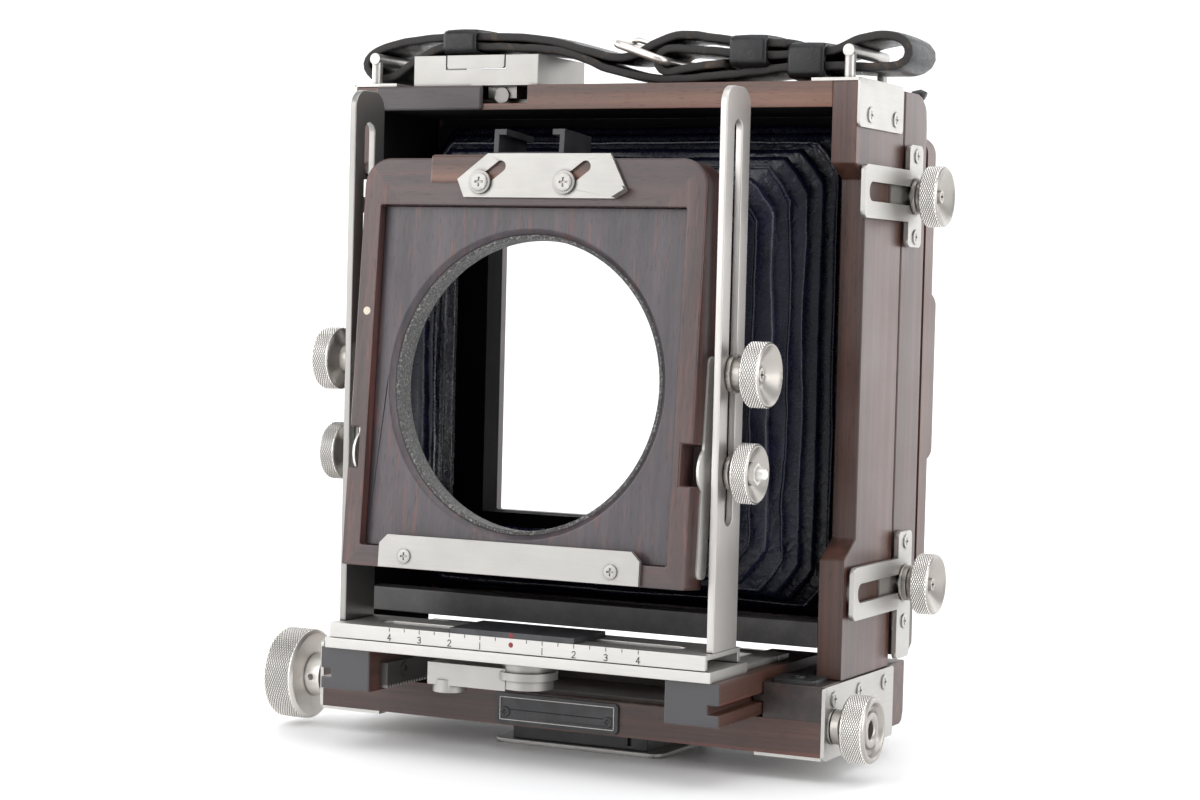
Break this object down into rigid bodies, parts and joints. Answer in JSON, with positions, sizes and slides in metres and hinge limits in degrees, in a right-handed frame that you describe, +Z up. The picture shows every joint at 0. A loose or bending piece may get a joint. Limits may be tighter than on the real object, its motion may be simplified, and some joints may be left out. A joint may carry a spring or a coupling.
{
  "type": "large format view camera",
  "caption": "Wooden large format view camera with a sliding metal front standard, tilting lens frame, pleated bellows, clamp knobs and a sprung ground glass back.",
  "frame": {"origin": "axis of the tripod screw on the resting face of the quick-release plate", "axes": "+Z up, -Y towards the subject, +X the right side as seen from the front"},
  "size_m": [0.1976, 0.1242, 0.2212],
  "materials": {
    "hardwood": "satin lacquered dark hardwood with red streaks",
    "dark_hardwood": "satin lacquered near-black hardwood",
    "brushed_metal": "brushed warm grey titanium sheet",
    "knurled_nickel": "satin nickel, knurled rims",
    "black_metal": "satin black anodised",
    "strap_leather": "smooth black strap leather",
    "bellows_leather": "soft creased black leather",
    "felt": "flocked dark felt",
    "screen": "finely ground on one side"
  },
  "bodies": {
    "base": {"tripod_plate": "brushed_metal", "tripod_block": "black_metal", "bed_board": "hardwood", "bed_rail_left": "dark_hardwood", "bed_rail_right": "dark_hardwood", "bed_tail": "hardwood", "bed_plate_left": "brushed_metal", "bed_plate_right": "brushed_metal", "stop_plates": "black_metal", "name_plate": "black_metal", "body_side_left": "hardwood", "body_side_right": "hardwood", "body_top": "hardwood", "body_sill": "dark_hardwood", "stud_plates_left": "brushed_metal", "stud_plates_right": "brushed_metal", "lug_left": "brushed_metal", "lug_right": "brushed_metal", "notch_block": "black_metal", "top_housing": "brushed_metal", "top_flap": "brushed_metal", "strap": "strap_leather", "strap_buckle": "knurled_nickel"},
    "carriage": {"runner_left": "dark_hardwood", "runner_right": "dark_hardwood", "bridge_plate": "brushed_metal", "racks": "brushed_metal"},
    "focus_drive": {"focus_shaft": "brushed_metal", "focus_knob": "knurled_nickel"},
    "focus_lock": {"focus_lock": "knurled_nickel"},
    "lock_lever": {"lock_lever": "brushed_metal"},
    "swivel": {"index_plate": "black_metal"},
    "standard": {"scale_plate": "brushed_metal", "post_left": "brushed_metal", "post_right": "brushed_metal"},
    "riser": {"slider_left": "brushed_metal", "slider_right": "brushed_metal"},
    "rise_knob_left": {"rise_knob_left": "knurled_nickel"},
    "rise_knob_right": {"rise_knob_right": "knurled_nickel"},
    "tilt_knob_left": {"tilt_knob_left": "knurled_nickel"},
    "tilt_knob_right": {"tilt_knob_right": "knurled_nickel"},
    "lens_mount": {"lens_frame": "hardwood", "lens_panel": "dark_hardwood", "felt_ring": "felt", "board_sill": "brushed_metal", "tilt_strips": "brushed_metal", "accessory_shoe": "black_metal"},
    "latch": {"latch_plate": "brushed_metal"},
    "rear_pivot": {"pivot_washers": "knurled_nickel"},
    "rear": {"rear_frame": "hardwood", "brackets_left": "brushed_metal", "brackets_right": "brushed_metal", "bellows": "bellows_leather"},
    "rear_knob_top_left": {"rear_knob_top_left": "knurled_nickel"},
    "rear_knob_top_right": {"rear_knob_top_right": "knurled_nickel"},
    "rear_knob_low_left": {"rear_knob_low_left": "knurled_nickel"},
    "rear_knob_low_right": {"rear_knob_low_right": "knurled_nickel"},
    "back": {"back_panel": "hardwood"},
    "glass_carrier": {"glass_frame": "hardwood", "ground_glass": "screen"}
  },
  "joints": [
    {"name": "focus_slide", "type": "slide", "parent": "base", "child": "carriage", "axis": [0, -1, 0], "range_m": [-0.011, 0.028], "deforming": ["bellows"]},
    {"name": "focus_turn", "type": "hinge", "parent": "base", "child": "focus_drive", "pos_m": [0, -0.0285, 0.0156], "axis": [1, 0, 0], "range_deg": [-182, 462]},
    {"name": "focus_lock_turn", "type": "hinge", "parent": "base", "child": "focus_lock", "pos_m": [0.09, -0.0285, 0.0156], "axis": [1, 0, 0], "range_deg": [-60, 180]},
    {"name": "lock_lever_turn", "type": "hinge", "parent": "carriage", "child": "lock_lever", "pos_m": [0, -0.056, 0.027], "axis": [0, 0, 1], "range_deg": [-35, 45]},
    {"name": "front_swing", "type": "hinge", "parent": "carriage", "child": "swivel", "pos_m": [0, -0.056, 0.038], "axis": [0, 0, 1], "range_deg": [-6, 6]},
    {"name": "front_shift", "type": "slide", "parent": "swivel", "child": "standard", "axis": [1, 0, 0], "range_m": [-0.034, 0.034]},
    {"name": "front_rise", "type": "slide", "parent": "standard", "child": "riser", "axis": [0, 0, 1], "range_m": [-0.01, 0.045]},
    {"name": "front_tilt", "type": "hinge", "parent": "riser", "child": "lens_mount", "pos_m": [0, -0.05365, 0.0876], "axis": [-1, 0, 0], "range_deg": [-14, 12]},
    {"name": "rise_knob_left_turn", "type": "hinge", "parent": "riser", "child": "rise_knob_left", "pos_m": [-0.063, -0.05365, 0.115], "axis": [1, 0, 0], "range_deg": [-60, 180]},
    {"name": "rise_knob_right_turn", "type": "hinge", "parent": "riser", "child": "rise_knob_right", "pos_m": [0.063, -0.05365, 0.115], "axis": [1, 0, 0], "range_deg": [-60, 180]},
    {"name": "tilt_knob_left_turn", "type": "hinge", "parent": "riser", "child": "tilt_knob_left", "pos_m": [-0.063, -0.05365, 0.0876], "axis": [1, 0, 0], "range_deg": [-60, 180]},
    {"name": "tilt_knob_right_turn", "type": "hinge", "parent": "riser", "child": "tilt_knob_right", "pos_m": [0.063, -0.05365, 0.0876], "axis": [1, 0, 0], "range_deg": [-60, 180]},
    {"name": "board_latch_slide", "type": "slide", "parent": "lens_mount", "child": "latch", "axis": [-0.7986, -0.0472, -0.6], "range_m": [0, 0.0074]},
    {"name": "rear_tilt", "type": "hinge", "parent": "base", "child": "rear_pivot", "pos_m": [0, 0.022, 0.0522], "axis": [-1, 0, 0], "range_deg": [0, 5]},
    {"name": "rear_slide", "type": "slide", "parent": "rear_pivot", "child": "rear", "axis": [0, 1, 0], "range_m": [0, 0.025]},
    {"name": "rear_knob_top_left_turn", "type": "hinge", "parent": "base", "child": "rear_knob_top_left", "pos_m": [-0.09, 0.022, 0.1673], "axis": [1, 0, 0], "range_deg": [-60, 180]},
    {"name": "rear_knob_top_right_turn", "type": "hinge", "parent": "base", "child": "rear_knob_top_right", "pos_m": [0.09, 0.022, 0.1673], "axis": [1, 0, 0], "range_deg": [-60, 180]},
    {"name": "rear_knob_low_left_turn", "type": "hinge", "parent": "base", "child": "rear_knob_low_left", "pos_m": [-0.09, 0.022, 0.0522], "axis": [1, 0, 0], "range_deg": [-60, 180]},
    {"name": "rear_knob_low_right_turn", "type": "hinge", "parent": "base", "child": "rear_knob_low_right", "pos_m": [0.09, 0.022, 0.0522], "axis": [1, 0, 0], "range_deg": [-60, 180]},
    {"name": "back_remove", "type": "slide", "parent": "rear", "child": "back", "axis": [0, 1, 0], "range_m": [0, 0.04]},
    {"name": "glass_carrier_slide", "type": "slide", "parent": "back", "child": "glass_carrier", "axis": [0, 1, 0], "range_m": [0, 0.013], "stiffness_N_per_m": 600}
  ],
  "couplings": [
    {"joint": "focus_turn", "follows": "focus_slide", "rad_per_m": 285.71}
  ]
}
